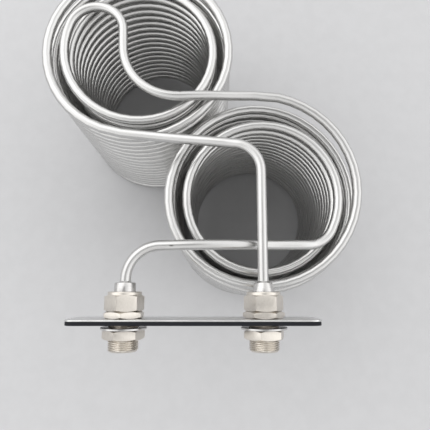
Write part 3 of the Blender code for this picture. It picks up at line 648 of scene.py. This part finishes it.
# %% One whole coil
def coil(side, start_angle):
    """The points of a double coil, from the end of the tube that feeds it."""
    centre, z0 = CENTRES[side], START_Z[side]
    pitch = (z0 - BOTTOM_Z - LIFT - FIRST_PITCH) / (INNER_TURNS[side] - 1)
    leave_angle, leave_z = LEAVES[side]
    swing, growth = TOPS[side]
    distance, direction, fades_out, fades_over = STAND_OUT[side]
    phase = PHASES[side]
    points = []
    for k in range(1, INNER_TURNS[side] * TURN_STEPS):
        turn = k / TURN_STEPS
        z = z0 - FIRST_PITCH * min(turn, 1) - pitch * max(turn - 1, 0)
        wobble = min(turn, INNER_TURNS[side] - turn, 1.0)
        radius = INNER + RADIUS_WAVE * wobble * sin(2 * pi * 1.07 * turn + phase)
        z += HEIGHT_WAVE * wobble * sin(2 * pi * 0.37 * turn + phase)
        place = centre + radius * heading(start_angle + 360 * turn)
        points.append(Vector((*place, z)))
    for k in range(TURN_STEPS):
        turn = k / TURN_STEPS
        radius = INNER + (OUTER - INNER) * ease(2 * turn)
        lift = LIFT * (1 - ease(min(turn, 1 - turn) / LIFT_FADES))
        place = centre + LEAN * ease(2 * turn) + radius * heading(start_angle + 360 * turn)
        points.append(Vector((*place, BOTTOM_Z + lift)))
    turns = OUTER_TURNS[side] + ((leave_angle - start_angle) % 360) / 360
    pitch = (leave_z - BOTTOM_Z - LIFT - RISE - LAST_PITCH) / (turns - 1.5)
    for k in range(int(turns * TURN_STEPS)):
        turn = k / TURN_STEPS
        left = turns - turn
        z = BOTTOM_Z + LIFT + RISE * min(turn / 0.5, 1) + LAST_PITCH * max(1 - left, 0)
        z += pitch * min(max(turn - 0.5, 0), turns - 1.5)
        wobble = min(turn, left, 1.0)
        z += HEIGHT_WAVE * wobble * sin(2 * pi * 0.41 * turn + phase)
        swung = ease((SWING_BEGINS - left) / SWING_OVER)
        radius = OUTER + swung * growth + RADIUS_WAVE * wobble * sin(2 * pi * 1.05 * turn + phase)
        angle = start_angle + 360 * turn
        radius += (distance * max(cos(radians(angle - direction)), 0.0) ** 3 * (1 - swung)
                   * ease((fades_out - left) / fades_over))
        place = centre + LEAN * left / turns + swung * swing * heading(leave_angle)
        points.append(Vector((*(place + radius * heading(angle)), z)))
    return points


# %% [markdown]
# The feed tube leaves the left union, bends to the right and joins the right coil's inner helix from
# inside. It runs level for a little more than the first third of its length and falls from there.

# %% The feed tube
FEED_BEND, FEED_HEADING, FEED_ENTRY = 0.0305, 1.4, 0.028
FEED_CHORD = 0.0535    # from the coil's centre towards the plate
FEED_LEVEL = 0.36      # of its length
x = UNIONS["left"]
chord_y = CENTRES["right"].y - FEED_CHORD
bend = arc(Vector((x + FEED_BEND, chord_y - FEED_BEND)), FEED_BEND, 180, 90 + FEED_HEADING)
middle, first, right_entry = circle_entry(bend[-1], FEED_HEADING, CENTRES["right"], INNER, FEED_ENTRY)
plan = straight(Vector((x, TUBE_END)), bend[0]) + bend
plan += straight(bend[-1], middle + FEED_ENTRY * heading(first))[1:]
plan += arc(middle, FEED_ENTRY, first, right_entry)
feed = with_heights(plan, [(0, 0), (FEED_LEVEL, 0), (1, START_Z["right"])])
print("feed tube joins the right coil at", round(right_entry, 1), "degrees")

# %% [markdown]
# The link tube leaves the right coil's outer helix straight on. It rises to pass over the left coil's
# rims, bends to the right, away from the plate, and joins that coil's inner helix from inside.

# %% The link tube
LINK_STRAIGHT, LINK_BEND, LINK_ENTRY, LINK_HEADING = 0.0744, 0.054, 0.029, 92
LINK_ABOVE = 0.0039                    # over the left coil's start
LINK_RISEN, LINK_FALLS = 0.24, 0.56    # of its length
angle, z = LEAVES["right"]
start = CENTRES["right"] + (OUTER + sum(TOPS["right"])) * heading(angle)
turned_at = start + LINK_STRAIGHT * heading(angle + 90)
bend_centre = turned_at + LINK_BEND * heading(angle)
bend = arc(bend_centre, LINK_BEND, angle + 180, 90 + LINK_HEADING)
middle, first, left_entry = circle_entry(bend[-1], LINK_HEADING, CENTRES["left"], INNER, LINK_ENTRY)
plan = straight(start, turned_at) + bend
plan += straight(bend[-1], middle + LINK_ENTRY * heading(first))[1:]
plan += arc(middle, LINK_ENTRY, first, left_entry)
over = START_Z["left"] + LINK_ABOVE
link = with_heights(plan, [(0, z), (LINK_RISEN, over), (LINK_FALLS, over), (1, START_Z["left"])])
print("link tube joins the left coil at", round(left_entry, 1), "degrees")

# %% [markdown]
# The return tube leaves the left coil's outer helix and crosses over the right coil. It rises to the
# union's height by a little past the middle of its length, and bends towards the right union.

# %% The return tube
RETURN_BEND = 0.028
RETURN_RISEN = 0.55    # of its length
angle, z = LEAVES["left"]
start = CENTRES["left"] + (OUTER + sum(TOPS["left"])) * heading(angle)
along, reach = heading(angle + 90), RETURN_BEND * heading(angle + 180)
run = (UNIONS["right"] - RETURN_BEND - start.x + reach.x) / along.x
bend = arc(start + run * along - reach, RETURN_BEND, angle + 180, 0)
tube_end = Vector((UNIONS["right"], TUBE_END))
plan = straight(start, bend[0]) + bend + straight(bend[-1], tube_end)[1:] + [tube_end]
back = with_heights(plan, [(0, z), (RETURN_RISEN, 0), (1, 0)])
print("return tube", len(back), "points")

# %% [markdown]
# The stretches are joined and their heights smoothed where one pitch changes to another. The least
# distance of the line to itself shows that no turn cuts into its neighbour.

# %% Join the route
route = feed + coil("right", right_entry) + link + coil("left", left_entry) + back
SMOOTH_MARGIN, SMOOTH_PASSES = 12, 14
kept = len(feed) - SMOOTH_MARGIN, len(route) - len(back) + SMOOTH_MARGIN
for _ in range(SMOOTH_PASSES):
    heights = [p.z for p in route]
    for k in range(*kept):
        route[k].z = (heights[k - 1] + 2 * heights[k] + heights[k + 1]) / 4
NEIGHBOURS = 24    # points along the tube that are too near to count
near = min((route[i] - route[j]).length for i in range(0, len(route), 2)
           for j in range(i + NEIGHBOURS, len(route), 3))
steps = [(b - a).length for a, b in zip(route, route[1:])]
print(len(route), "points,", round(sum(steps), 2), "m of tube, least step",
      round(min(steps) * 1000, 2), "mm, least gap", round((near - 2 * TUBE_RADIUS) * 1000, 2), "mm")

# %% [markdown]
# ## The tube
#
# The curve is given the tube's section and made a mesh. Its rings keep their order, so each vertex
# can be told how far along and how far round it lies, which the steel's fine lines follow. The coil
# stands on a narrow flat, so what lies lower than the floor is moved up to it.

# %% Sweep the tube
SIDES = 18
line = bpy.data.curves.new("chiller_tube", "CURVE")
line.dimensions = "3D"
line.twist_mode = "Z_UP"
line.bevel_depth = TUBE_RADIUS
line.bevel_resolution = (SIDES - 4) // 2
spline = line.splines.new("POLY")
spline.points.add(len(route) - 1)
for slot, point in zip(spline.points, route):
    slot.co = (*point, 1.0)
tube = bpy.data.objects.new("chiller_tube", line)
scene.collection.objects.link(tube)
only(tube)
bpy.ops.object.convert(target="MESH")
print(len(tube.data.vertices), "vertices for", len(route), "rings of", SIDES)

# %% Tell each vertex its place on the tube
lengths = [0.0]
for step in steps:
    lengths.append(lengths[-1] + step)
place = tube.data.attributes.new("along_tube", "FLOAT_VECTOR", "POINT")
for k, v in enumerate(tube.data.vertices):
    ring, side = divmod(k, SIDES)
    around = 2 * pi * side / SIDES
    place.data[k].vector = (TUBE_RADIUS * cos(around), TUBE_RADIUS * sin(around), lengths[ring])
    v.co.z = max(v.co.z, FLOOR_Z)

# %% Paint the smudges
SMUDGE_TINT, SMUDGE_STRENGTH = (0.12, 0.11, 0.10), 0.95
SMUDGES = (("feed", Vector((-0.0241, 0.0692)), Vector((0, -0.3, 1)), 0.0032, 0.0011),
           ("link", Vector((-0.0193, 0.2233)), Vector((0, 0.8, 1)), 0.0014, 0.0011))
first_link = len(feed) + len(coil("right", right_entry))
RINGS = {"feed": range(len(feed)), "link": range(first_link, first_link + len(link))}
for stretch, spot, side, half_length, half_width in SMUDGES:
    ring = min(RINGS[stretch], key=lambda k: (route[k].xy - spot).length)
    around_ring = range(ring * SIDES, (ring + 1) * SIDES)
    k = max(around_ring, key=lambda k: tube.data.vertices[k].co.dot(side))
    smudge(STEEL_TUBE, "along_tube", place.data[k].vector, half_length, half_width,
           SMUDGE_TINT, SMUDGE_STRENGTH)
    print("smudge on the", stretch, "tube at", round(lengths[ring], 4), "m along the run")

# %% Open the two ends
BORE_SHARE, BORE_DEPTH = 0.811, 0.012    # the bore's width in the tube's, and how deep it's shown
for ring, x in ((0, UNIONS["left"]), (len(route) - 1, UNIONS["right"])):
    bpy.ops.object.mode_set(mode="EDIT")
    bpy.ops.mesh.select_mode(type="VERT")
    bpy.ops.mesh.select_all(action="DESELECT")
    bpy.ops.object.mode_set(mode="OBJECT")
    for k in range(ring * SIDES, (ring + 1) * SIDES):
        tube.data.vertices[k].select = True
    bpy.ops.object.mode_set(mode="EDIT")
    bpy.ops.mesh.select_mode(type="EDGE")
    bpy.ops.mesh.extrude_edges_move()
    bpy.ops.transform.resize(value=(BORE_SHARE, 1, BORE_SHARE), center_override=(x, TUBE_END, 0))
    bpy.ops.mesh.extrude_edges_move()
    bpy.ops.transform.translate(value=(0, BORE_DEPTH, 0))
    bpy.ops.mesh.edge_face_add()
    bpy.ops.mesh.select_all(action="SELECT")
    bpy.ops.mesh.normals_make_consistent(inside=False)
    bpy.ops.object.mode_set(mode="OBJECT")
finished(tube, STEEL_TUBE, "stainless_tube", "root", "feed_tube", "coil_link_tube", "return_tube",
         *[f"{side}_{part}" for side in CENTRES
           for part in ("inner_helix", "bottom_turn", "outer_helix")],
         angle=40)
